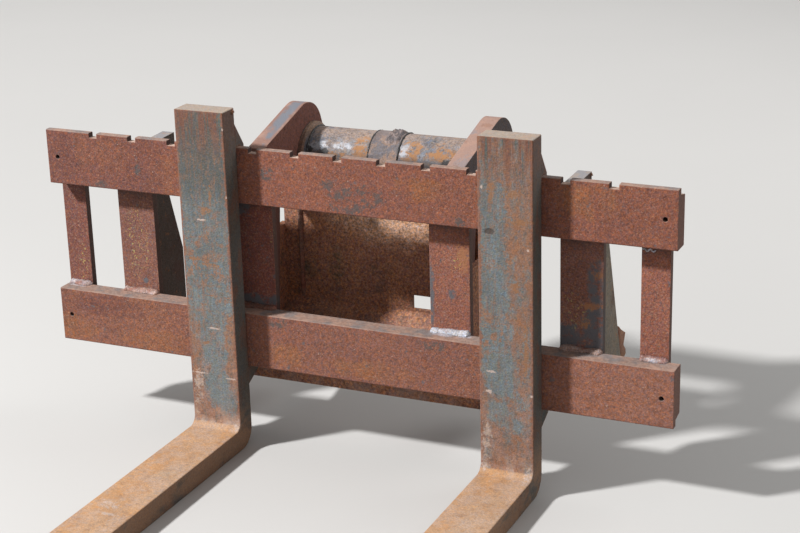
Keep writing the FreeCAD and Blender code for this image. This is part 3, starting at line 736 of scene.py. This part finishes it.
def piece(name, material, forms, body="carriage"):
    """A smooth piece, joined from several lists of corners and faces, that rides on a body."""
    corners, faces = [], []
    for more_corners, more_faces in forms:
        start = len(corners)
        corners += more_corners
        faces += [tuple(index + start for index in face) for face in more_faces]
    mesh = bpy.data.meshes.new(name)
    mesh.from_pydata(corners, [], faces)
    mesh.update()
    tidy = bmesh.new()
    tidy.from_mesh(mesh)
    bmesh.ops.recalc_face_normals(tidy, faces=tidy.faces)
    tidy.to_mesh(mesh)
    tidy.free()
    mesh.shade_smooth()
    mesh.materials.append(material)
    obj = placed(name, mesh)
    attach(obj, body)


def skin(sections):
    """A closed skin over a row of sections that have the same number of corners."""
    wide = len(sections[0])
    corners = [corner for section in sections for corner in section]
    faces = [(ring + side, ring + (side + 1) % wide, ring + wide + (side + 1) % wide, ring + wide + side)
             for ring in range(0, len(corners) - wide, wide) for side in range(wide)]
    return corners, faces + [tuple(range(wide)), tuple(range(len(corners) - wide, len(corners)))]


# One station of a weld: a point of the corner and the directions along the two faces it joins
Station = namedtuple("Station", "point face_a face_b")

# A fillet's section in units of its leg, along the first and the second face
FILLET_SECTION = ((1.0, -0.03), (0.8, 0.3), (0.58, 0.58), (0.3, 0.8), (-0.03, 1.0), (-0.05, -0.05))
STATION_STEP = 0.0016
FORWARDS, UPWARDS = Vector((0, -1, 0)), Vector((0, 0, 1))


def straight_seam(start, end, face_a, face_b):
    run = end - start
    count = max(4, round(run.length / STATION_STEP))
    a, b = Vector(face_a).normalized(), Vector(face_b).normalized()
    return [Station(start + run * (index / count), a, b) for index in range(count + 1)]


def round_seam(x, radius, away=1):
    """Stations round the hitch tube's axis. away is +1 or -1 along x."""
    count = round(math.tau * radius / 1000 / STATION_STEP)
    stations = []
    for index in range(count + 1):
        angle = math.tau * index / count
        out = Vector((0, math.cos(angle), math.sin(angle)))
        stations.append(Station(at(x, TUBE_Y, TUBE_Z) + out * (radius / 1000), out, Vector((away, 0, 0))))
    return stations


def fillet(stations, leg, seed, rise=1.0):
    """Corners and faces of a rippled fillet weld. rise is how high it climbs for each unit of leg."""
    s = bpy.context.scene.carriage_welds
    sections = []
    travelled = 0.0
    for index, station in enumerate(stations):
        if index:
            travelled += (station.point - stations[index - 1].point).length
        wave = abs(math.sin(math.pi * travelled / s.ripple))
        slow = noise.noise(Vector((travelled * 28, seed * 3.7, 1)))
        quick = noise.noise(Vector((travelled * 95, seed * 3.7, 5)))
        end = min(1.0, 0.45 + 0.2 * min(index, len(stations) - 1 - index))
        size = leg * end * (1 + s.unevenness * (slow + 0.6 * quick) + 0.09 * wave)
        lean = 1 + s.unevenness * noise.noise(Vector((travelled * 40, seed, 9)))
        sections.append([station.point + station.face_a * (a * size * lean)
                         + station.face_b * (b * size * rise) for a, b in FILLET_SECTION])
    return skin(sections)


def upright(x, y, bottom, top, away, leg, seed, back=1):
    """A fillet up the line where a side at x meets a face at y. away and back say where they look."""
    return fillet(straight_seam(at(x, y, bottom), at(x, y, top), (away, 0, 0), (0, back, 0)), leg, seed)


def level(left, right, y, z, face_a, face_b, leg, seed, rise=1.0):
    """A fillet along x between two faces that meet at y and z."""
    return fillet(straight_seam(at(left, y, z), at(right, y, z), face_a, face_b), leg, seed, rise)


def flanks(node):
    """Where a node's left and right sides are, and which way each looks."""
    low, high = local_box(node)
    return (low.x, -1), (high.x, 1)


def bead(points, up, radius, seed):
    """Corners and faces of an uneven round bead along a line of points."""
    sides = 8
    sections = []
    for index, centre in enumerate(points):
        before, after = points[max(index - 1, 0)], points[min(index + 1, len(points) - 1)]
        along = (after - before).normalized()
        across = along.cross(up).normalized()
        out = across.cross(along).normalized()
        size = radius * (1 + 0.5 * noise.noise(centre * 130 + Vector((seed, seed, seed))))
        sections.append([centre + across * (size * math.cos(turn)) + out * (size * math.sin(turn))
                         for turn in (2 * math.pi * side / sides for side in range(sides))])
    return skin(sections)


# Operators

class Step:
    bl_options = {"REGISTER", "UNDO"}


class CARRIAGE_OT_groups(Step, bpy.types.Operator):
    """Make the shader groups that the materials share"""
    bl_idname = "carriage.shader_groups"
    bl_label = "Shader groups"

    def execute(self, context):
        for maker in GROUP_MAKERS:
            maker()
        return {"FINISHED"}


class CARRIAGE_OT_rails(Step, bpy.types.Operator):
    """Rust both hook rails"""
    bl_idname = "carriage.finish_rails"
    bl_label = "Finish rails"

    def execute(self, context):
        paint(rail_material(), "upper_rail", "lower_rail")
        return {"FINISHED"}


class CARRIAGE_OT_posts(Step, bpy.types.Operator):
    """Rust the posts between the rails"""
    bl_idname = "carriage.finish_posts"
    bl_label = "Finish posts"

    def execute(self, context):
        for post in POSTS:
            paint(post_material(post.name.replace("_", " ").capitalize() + " rust", post.base), post.name)
        return {"FINISHED"}


class CARRIAGE_OT_plates(Step, bpy.types.Operator):
    """Rust the back plate, the side plates and the beam"""
    bl_idname = "carriage.finish_plates"
    bl_label = "Finish plates"

    def execute(self, context):
        paint(plate_material(), "back_plate", "left_side_plate", "right_side_plate", "bottom_beam")
        return {"FINISHED"}


class CARRIAGE_OT_braces(Step, bpy.types.Operator):
    """Grime the ribs and the gussets"""
    bl_idname = "carriage.finish_braces"
    bl_label = "Finish braces"

    def execute(self, context):
        paint(brace_material("Brace grime", (0.08, 0.064, 0.054), (0.12, 0.092, 0.075)),
              "left_rib", "right_rib", "left_gusset")
        paint(brace_material("Gusset grime", (0.235, 0.198, 0.155), (0.18, 0.175, 0.15)), "right_gusset")
        return {"FINISHED"}


class CARRIAGE_OT_hitch(Step, bpy.types.Operator):
    """Finish the ears, the hitch tube, its rings and its collar"""
    bl_idname = "carriage.finish_hitch"
    bl_label = "Finish hitch"

    def execute(self, context):
        paint(ear_material(), "left_ear", "right_ear")
        paint(tube_material(), "hitch_tube")
        paint(ring_material(), "left_ring", "right_ring")
        paint(collar_material(), "tube_collar")
        return {"FINISHED"}


class CARRIAGE_OT_forks(Step, bpy.types.Operator):
    """Finish the forks and their hooks"""
    bl_idname = "carriage.finish_forks"
    bl_label = "Finish forks"

    def execute(self, context):
        for look in FORK_LOOKS:
            paint(fork_material(look), look.name + "_fork", look.name + "_fork_upper_hook",
                  look.name + "_fork_lower_hook")
        return {"FINISHED"}


class CARRIAGE_OT_post_welds(Step, bpy.types.Operator):
    """Lay the welds where the posts meet the rails"""
    bl_idname = "carriage.post_welds"
    bl_label = "Post welds"

    def execute(self, context):
        s = context.scene.carriage_welds
        rails_end = 730
        finishes = {name: weld_material(name, *look) for name, look in WELD_LOOKS.items()}
        for number, post in enumerate(POSTS):
            low, high = local_box(post.name)
            foot = level(low.x, high.x, RAIL_DEPTH, LOWER_RAIL_TOP, FORWARDS, UPWARDS, s.foot, number, 0.62)
            piece("weld_foot_" + post.name, finishes[post.weld], [foot])
            seams = [level(low.x + 4, high.x - 4, RAIL_DEPTH, UPPER_RAIL_BOTTOM, FORWARDS, -UPWARDS,
                           s.seam, number + 20)]
            for x, away in flanks(post.name):
                if abs(x) < rails_end:
                    seams += [upright(x, RAIL_DEPTH, bottom, top, away, s.seam, number + x)
                              for bottom, top in ((low.z + 4, LOWER_RAIL_TOP - 4),
                                                  (UPPER_RAIL_BOTTOM + 4, high.z - 4))]
            piece("weld_seams_" + post.name, finishes["Rusty weld"], seams)
        stray = [at(low.x + 2 + step * 2.2, RAIL_DEPTH, UPPER_RAIL_BOTTOM - 19 + 3 * math.sin(step * 1.1))
                 for step in range(13)]
        piece("weld_stray", finishes["White weld"], [bead(stray, FORWARDS, 0.0019, 5)])
        return {"FINISHED"}


class CARRIAGE_OT_brace_welds(Step, bpy.types.Operator):
    """Lay the welds of the ribs, gussets, ears and plates"""
    bl_idname = "carriage.brace_welds"
    bl_label = "Brace and plate welds"

    def execute(self, context):
        leg = context.scene.carriage_welds.seam
        rusty = bpy.data.materials["Rusty weld"]
        for name, top in (("left_rib", 640), ("right_rib", 640), ("left_gusset", 560),
                          ("right_gusset", 560), ("left_ear", 660), ("right_ear", 660)):
            seams = [upright(x, POST_BACK, 220, top, away, leg, x) for x, away in flanks(name)
                     if self.on_post(x + away * leg * 1200)]
            if seams:
                piece("weld_" + name, rusty, seams)
        low, high = local_box("back_plate")
        beam = local_box("bottom_beam")[1]
        seams = [upright(x, high.y - 8, 290, high.z - 6, away, leg, x, -1)
                 for x, away in ((low.x + 40, 1), (high.x - 40, -1))]
        seams.append(level(low.x + 44, high.x - 44, beam.y, beam.z, FORWARDS, (0, 0.7, 1), leg * 0.8, 3))
        piece("weld_back_plate", rusty, seams)
        return {"FINISHED"}

    def on_post(self, edge):
        """Whether a post's back reaches as far as a weld's edge."""
        boxes = [local_box(post.name) for post in POSTS]
        return any(low.x - 1 <= edge <= high.x + 1 for low, high in boxes)


class CARRIAGE_OT_hitch_welds(Step, bpy.types.Operator):
    """Lay the welds round the hitch tube and pack grease into its gaps"""
    bl_idname = "carriage.hitch_welds"
    bl_label = "Hitch welds and grease"

    def execute(self, context):
        ends = ((local_box("left_ear")[0].x, -1, 61), (local_box("right_ear")[1].x, 1, 62))
        piece("weld_tube_ends", bpy.data.materials["Rusty weld"],
              [fillet(round_seam(x, TUBE_RADIUS, away), 0.004, seed) for x, away, seed in ends])
        collar, left_ring = local_box("tube_collar"), local_box("left_ring")
        # Lines of grease: x and radius in millimetres, thickness in metres and seed
        lines = ((collar[0].x - 1.4, TUBE_RADIUS + 0.8, 0.0024, 4),
                 (collar[1].x + 1.2, TUBE_RADIUS + 0.7, 0.0021, 9),
                 (left_ring[1].x + 1, TUBE_RADIUS + 0.6, 0.0024, 14),
                 (left_ring[0].x + 1.0, 73.6, 0.0012, 17),
                 (local_box("right_ring")[0].x - 1, TUBE_RADIUS + 0.6, 0.002, 21))
        piece("tube_grease", grease_material(),
              [bead([station.point for station in round_seam(x, radius)], Vector((1, 0, 0)), thick, seed)
               for x, radius, thick, seed in lines])
        return {"FINISHED"}


class CARRIAGE_OT_collar_tear(Step, bpy.types.Operator):
    """Crumple the torn skin on top of the collar"""
    bl_idname = "carriage.collar_tear"
    bl_label = "Torn skin on collar"

    def execute(self, context):
        rows, columns = 34, 26
        collar_radius = local_box("tube_collar")[1].z - TUBE_Z
        corners = []
        for row in range(rows + 1):
            for column in range(columns + 1):
                u, v = row / rows, column / columns
                angle = math.radians(70 + 62 * u)
                edge = min(1, 7 * u, 7 * (1 - u)) * min(1, 7 * v, 7 * (1 - v))
                torn = noise.noise(Vector((u * 4, v * 4, 3)))
                fold = 1 - abs(noise.noise(Vector((u * 5.5 + v * 2, v * 5, 8)))) * 2.2
                crease = noise.noise(Vector((u * 16, v * 14, 2)))
                lift = edge * (3.2 + 2.0 * torn + 4.2 * max(fold, 0) + 1.3 * crease) - 1.4
                radius = (collar_radius + lift) / 1000
                corners.append(at(0, TUBE_Y, TUBE_Z)
                               + Vector(((-9 + 38 * v) / 1000 + 0.0015 * torn,
                                         radius * math.cos(angle), radius * math.sin(angle))))
        wide = columns + 1
        faces = [(start, start + 1, start + wide + 1, start + wide)
                 for start in (row * wide + column for row in range(rows) for column in range(columns))]
        piece("collar_torn_skin", torn_skin_material(), [(corners, faces)])
        return {"FINISHED"}


# The torn tab's outline, as y and z
TAB_OUTLINE = ((140, 300), (150, 240), (172, 236), (186, 244), (207, 250), (205, 262), (190, 276),
               (196, 288), (203, 300), (188, 309), (172, 318), (157, 330), (145, 336))


class CARRIAGE_OT_chips(Step, bpy.types.Operator):
    """Add the torn tab behind the right gusset and the burrs on fork and rib"""
    bl_idname = "carriage.chips"
    bl_label = "Torn tab and burrs"

    def execute(self, context):
        rust = weld_material("Tab rust", (0.25, 0.12, 0.07), (0.33, 0.165, 0.085), 0.3)
        side = local_box("right_gusset")[1].x
        sections = [[at(side - depth, y + grow, z) for y, z in TAB_OUTLINE]
                    for depth, grow in ((4.5, 0.0), (3.6, 0.6), (1.2, 0.6), (0.4, 0.0))]
        piece("gusset_torn_tab", rust, [skin(sections)])
        piece("fork_burr", rust, [self.burr(at(-242.0, -13.0, 774.5), (4.5, 8.0, 6.0))],
              "fork_left")
        piece("rib_burr", rust, [self.burr(at(508.0, 150.0, 661.0), (5.0, 6.0, 5.0))])
        return {"FINISHED"}

    def burr(self, centre, reach):
        """A lump of torn metal that half sinks into what carries it."""
        ball = bmesh.new()
        bmesh.ops.create_icosphere(ball, subdivisions=3, radius=1.0)
        corners = []
        for corner in ball.verts:
            rough = 0.72 + 0.5 * noise.noise(corner.co * 2.1 + Vector((reach[0], 0, 0)))
            rough += 0.16 * noise.noise(corner.co * 6.0)
            corners.append(Vector([side * rough * away / 1000 for side, away in zip(corner.co, reach)])
                           + centre)
        faces = [tuple(corner.index for corner in face.verts) for face in ball.faces]
        ball.free()
        return corners, faces


class CARRIAGE_OT_hook_welds(Step, bpy.types.Operator):
    """Lay the welds that hold the hooks to the forks"""
    bl_idname = "carriage.hook_welds"
    bl_label = "Hook welds"

    def execute(self, context):
        for look in FORK_LOOKS:
            fork = look.name + "_fork"
            back = local_box(fork)[1].y
            seams = [upright(x, back, bottom, top, away, 0.0026, x)
                     for kind, bottom, top in (("_upper_hook", 700, 744), ("_lower_hook", 146, 176))
                     for x, away in flanks(fork + kind)]
            low, high = local_box(fork + "_upper_hook")
            seams.append(level(low.x + 2, high.x - 2, back, high.z, UPWARDS, -FORWARDS,
                               context.scene.carriage_welds.seam, low.x))
            piece("weld_hooks_" + look.name, bpy.data.materials["Rusty weld"], seams,
                  "fork_" + look.name)
        return {"FINISHED"}


def seen_rays(g):
    """1 for rays that show the floor and the backdrop themselves, 0 for the light that they cast."""
    path = g.add("LightPath").outputs
    direct = g.math("MAXIMUM", path["Is Camera Ray"], path["Is Glossy Ray"])
    return g.math("MAXIMUM", direct, path["Is Transmission Ray"])


class CARRIAGE_OT_stage(Step, bpy.types.Operator):
    """Set up the floor, the lamps and the camera"""
    bl_idname = "carriage.stage"
    bl_label = "Stage"

    def execute(self, context):
        s = context.scene.carriage_stage
        self.make_floor(s)
        self.make_lamps(context, s)
        self.make_camera(context)
        return {"FINISHED"}

    def make_floor(self, s):
        """A wide floor that darkens near the key lamp and brightens far behind the carriage."""
        size = 14.0
        mesh = bpy.data.meshes.new("floor")
        mesh.from_pydata([(-size, -size, 0), (size, -size, 0), (size, size, 0), (-size, size, 0)],
                         [], [(0, 1, 2, 3)])
        material = bpy.data.materials.new("Floor")
        material.use_nodes = True
        g = Graph(material.node_tree)
        shader = material.node_tree.nodes["Principled BSDF"]
        shader.inputs["Specular IOR Level"].default_value = 0.1
        shader.inputs["Roughness"].default_value = 0.95
        shade = lambda scale: [min(1.0, channel * scale) for channel in s.floor]
        cloud = g.noise(g.place(), 1.5, 4.0)
        away = g.parts(g.place())[1]
        near = g.mix("RGBA", g.span(away, -1.0, -3.5), s.floor, shade(0.72))
        far = g.mix("RGBA", g.span(away, 0.8, 6.0), near, shade(1.5))
        pale = g.mix("RGBA", cloud, g.vector("MULTIPLY", far, (0.97, 0.97, 0.97)), far)
        g.feed(shader.inputs["Base Color"], g.mix("RGBA", seen_rays(g), shade(0.55), pale))
        mesh.materials.append(material)
        placed("floor", mesh)

    def make_lamps(self, context, s):
        """A key lamp where the sun stands, a weak rim lamp, and surroundings that look pale."""
        world = bpy.data.worlds.new("Studio")
        context.scene.world = world
        world.use_nodes = True
        g = Graph(world.node_tree)
        background = world.node_tree.nodes["Background"]
        g.feed(background.inputs["Color"], (1, 1, 1))
        g.feed(background.inputs["Strength"], g.span(seen_rays(g), 0.0, 1.0, s.fill, 0.8))
        target = Vector((0.0, 0.1, 0.35))
        for name, place, size, power in (("key", (-4.9, -4.18, 6.55), 0.75, s.key),
                                         ("rim", (2.8, 2.4, 3.0), 2.6, s.key * 0.04)):
            data = bpy.data.lights.new(name, "AREA")
            data.shape, data.size, data.energy = "DISK", size, power
            lamp = placed(name, data)
            lamp.location = place
            lamp.rotation_euler = (target - lamp.location).to_track_quat("-Z", "Y").to_euler()
        context.scene.view_settings.view_transform = "Standard"

    def make_camera(self, context):
        """The camera at the fitted place, which looks along yaw and pitch and leans by roll."""
        data = bpy.data.cameras.new("camera")
        data.sensor_width, data.lens = 36.0, 81.11
        yaw, pitch, roll = 24.68, 19.0, 1.6
        pose = Matrix.Translation(at(1642.1, -3277.1, 1707.0))
        for angle, axis in ((yaw, "Z"), (90 - pitch, "X"), (-roll, "Z")):
            pose = pose @ Matrix.Rotation(math.radians(angle), 4, axis)
        context.scene.camera = placed("camera", data)
        context.scene.camera.matrix_world = pose


OPERATORS = (CARRIAGE_OT_groups, CARRIAGE_OT_rails, CARRIAGE_OT_posts, CARRIAGE_OT_plates,
             CARRIAGE_OT_braces, CARRIAGE_OT_hitch, CARRIAGE_OT_forks, CARRIAGE_OT_post_welds,
             CARRIAGE_OT_brace_welds, CARRIAGE_OT_hitch_welds, CARRIAGE_OT_collar_tear,
             CARRIAGE_OT_chips, CARRIAGE_OT_hook_welds, CARRIAGE_OT_stage)


class CARRIAGE_PT_panel(bpy.types.Panel):
    """Settings and steps of the carriage's finish"""
    bl_label = "Pallet fork carriage"
    bl_idname = "CARRIAGE_PT_panel"
    bl_space_type = "VIEW_3D"
    bl_region_type = "UI"
    bl_category = "Carriage"

    def draw(self, context):
        for key, group in SETTINGS.items():
            box = self.layout.box()
            for name in group.__annotations__:
                box.prop(getattr(context.scene, key), name)
        for operator in OPERATORS:
            self.layout.operator(operator.bl_idname)


CLASSES = (*SETTINGS.values(), *OPERATORS, CARRIAGE_PT_panel)


def register():
    for item in CLASSES:
        bpy.utils.register_class(item)
    for key, group in SETTINGS.items():
        setattr(bpy.types.Scene, key, bpy.props.PointerProperty(type=group))


def unregister():
    for key in SETTINGS:
        delattr(bpy.types.Scene, key)
    for item in reversed(CLASSES):
        bpy.utils.unregister_class(item)


def main():
    register()
    for operator in OPERATORS:
        module, name = operator.bl_idname.split(".")
        getattr(getattr(bpy.ops, module), name)()


if __name__ == "__main__":
    main()
